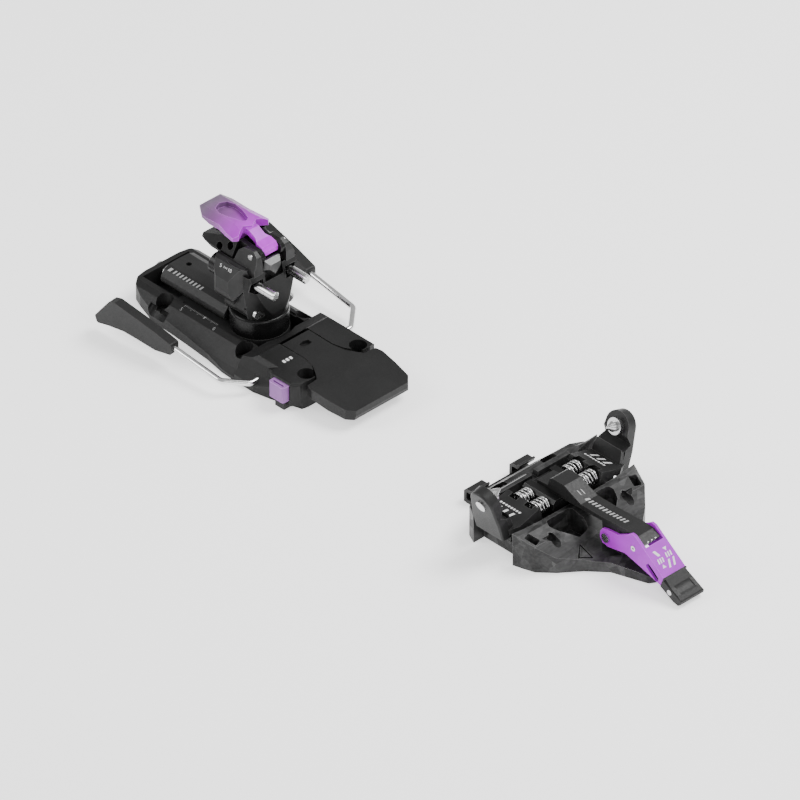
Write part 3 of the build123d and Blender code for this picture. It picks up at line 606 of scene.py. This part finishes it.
def print_mark(name, node, centre, right, up, shapes, paint="ink"):
    """Lay flat shapes on a node's surface, seen along right x up, as a film of ink."""
    normal = right.cross(up).normalized()
    middle = Vector(centre) * MM
    target = BVHTree.FromObject(NODES[node], bpy.context.evaluated_depsgraph_get())
    film = bmesh.new()
    corners = {}
    for shape in shapes:
        for cell in split_shape(shape):
            ring = []
            for u, v in cell:
                key = (round(u, 4), round(v, 4))
                if key not in corners:
                    start = middle + (right * u + up * v) * MM + normal * RAY_START
                    hit, slope, _, _ = target.ray_cast(start, -normal)
                    if hit is not None:
                        corners[key] = film.verts.new(hit + slope * INK_LIFT)
                if key in corners and corners[key] not in ring:
                    ring.append(corners[key])
            if len(ring) > 2 and film.faces.get(ring) is None:
                film.faces.new(ring)
    bmesh.ops.recalc_face_normals(film, faces=film.faces)
    for face in film.faces:
        if face.normal.dot(normal) < 0:
            face.normal_flip()
    mesh = bpy.data.meshes.new(name)
    film.to_mesh(mesh)
    film.free()
    piece = add_mesh(name, mesh, paint, BODY_OF[node])
    skin = piece.modifiers.new("skin", "SOLIDIFY")
    skin.thickness = INK_THICKNESS
    skin.offset = -1.0


def at_heel(x, y, z):
    """Point in mm, measured along the ski from the heel pins' tips."""
    return (x + HEEL_X / MM, y, z)


def rail_marks():
    """Position scale with its pointer along the right rail, and stripes on the box's shoulder."""
    ticks = 25
    half, top = 0.11, 0.9
    scale = []
    for i in range(ticks):
        tall = 1.9 if i % 5 == 0 else 1.1
        u = i - ticks // 2
        foot = top - tall
        scale.append([(u - half, foot), (u + half, foot), (u + half, top), (u - half, top)])
    scale += shifted(numeral("0", 2.6), 12.4, -3.4) + shifted(numeral("5", 2.6), -12.2, -3.4)
    print_mark("rail_scale", "heel_base", at_heel(-48.6, -18.7, 13.5), X, Y, scale, "faint_ink")
    print_mark("rail_pointer", "heel_base", at_heel(-45.8, -18.5, 13.5), X, Y,
               [[(-0.35, -1.2), (0.35, -1.2), (0.5, 1.1), (-0.1, 1.1)]])
    row = bars(9, 2.5, 1.1, 2.3, 0.7) + shifted(bars(1, 1, 1.9, 2.3, 0.7), -13.4, 0)
    shoulder_up = Vector((0, 0.9, 0.43)).normalized()
    print_mark("box_stripes", "heel_carriage", at_heel(-68.5, -10.4, 20.8), X, shoulder_up, row,
               "faint_ink")


def tower_marks():
    """Release numbers on the steep face of both bosses."""
    for side, word in SIDES:
        rise = Vector((0, -side * 0.371, 0.928))
        numbers = shifted(numeral("5", 2.7), -3.4, 0) + shifted(numeral("10", 2.7), 3.2, 0)
        numbers += shifted(bars(3, 1.0, 0.25, 1.0), 0, 0.5)
        print_mark("release_numbers_" + word, "tower_housing", at_heel(-29.6, side * 19.2, 52.2),
                   X * -side, rise, numbers)


def base_marks():
    """Bars on the brake housing and on the wings, and a stripe on the toe's rear bar."""
    print_mark("housing_bars", "brake_housing", at_heel(15.4, -17.0, 16.6), Y, -X,
               bars(3, 2.4, 1.5, 2.2, 0.3))
    stripe = [[(-9, -0.5), (9, -0.5), (9, -0.1), (-9, -0.1)]] + bars(11, 1.5, 0.9, 1.1, 0.3, 0.4)
    print_mark("rear_bar_stripe", "toe_base", (-16.0, -13.0, 21.6), Y, -X, stripe, "faint_ink")
    tilt = math.radians(17)
    for side, word in SIDES:
        shapes = bars(3, 4.6, 1.5, 4.2, 1.9, 0.2) + bars(8, 1.9, 1.2, 1.0, 0.3, -2.2)
        rise = Vector((0, side * math.cos(tilt), -math.sin(tilt)))
        print_mark("wing_bars_" + word, "toe_wing_" + word, (-0.6, side * 31.0, 20.0), X * side,
                   rise, shapes)


def lever_marks():
    """Bars along the strap, and bars and corners on the lever."""
    strap = [[(-17.6, 0), (-14.6, 0), (-14.1, 0.5), (-17.1, 0.5)],
             [(-17.2, 2.2), (-14.2, 2.2), (-13.7, 2.7), (-16.7, 2.7)]]
    strap += shifted(bars(12, 2.5, 1.2, 2.7, 0.8), 2.4, 0)
    print_mark("strap_bars", "toe_pedal", (36.0, -1.8, 26.0), X, Y, strap, "faint_ink")
    lever_up = Vector((0.806, 0, -0.592)).normalized()
    shapes = [[(-4.6, -4.6), (-2.2, -4.6), (-3.4, -2.6)], [(4.6, 4.8), (2.2, 4.8), (3.4, 2.8)]]
    for u, v in ((-3.3, -1.8), (3.1, -0.6)):
        shapes += shifted(bars(3, 1.5, 0.8, 2.6, 0.5), u, v)
    shapes += shifted(bars(2, 3.2, 1.2, 4.2, 2.0), 1.2, -5.8)
    shapes += shifted(bars(1, 3.0, 1.6, 3.4, -1.4), -2.2, 2.0)
    print_mark("lever_marks", "toe_lever", (79.5, 0, 17.5), Y, -lever_up, shapes)
    strap_end_up = Vector((-0.5, 0, 0.86)).normalized()
    print_mark("strap_end_bars", "toe_pedal", (69.6, 0, 22.0), Y, strap_end_up,
               bars(3, 2.6, 0.9, 2.4, 0.4, -1.2))


def socket_shade_marks():
    """Dark hexagons on the plate's screws and the lever's rivets: painted shade standing in for
    their hollow sockets.
    """
    for side, word in SIDES:
        print_mark("plate_screw_socket_shade_" + word, "front_plate_screws",
                   at_heel(-13.2, side * 11.2, 28.0), Y, Z, [hexagon(1.35)], "painted_socket_shade")
        print_mark("cheek_rivet_eye_shade_" + word, "lever_cheek_rivets", (65, side * 8.0, 19.4),
                   X * -side, Z, [hexagon(0.6)], "painted_socket_shade")


make_camera()
make_stage()
PAINTS = make_materials()
finish_nodes(PAINTS)
make_springs()
rail_marks()
tower_marks()
base_marks()
lever_marks()
socket_shade_marks()
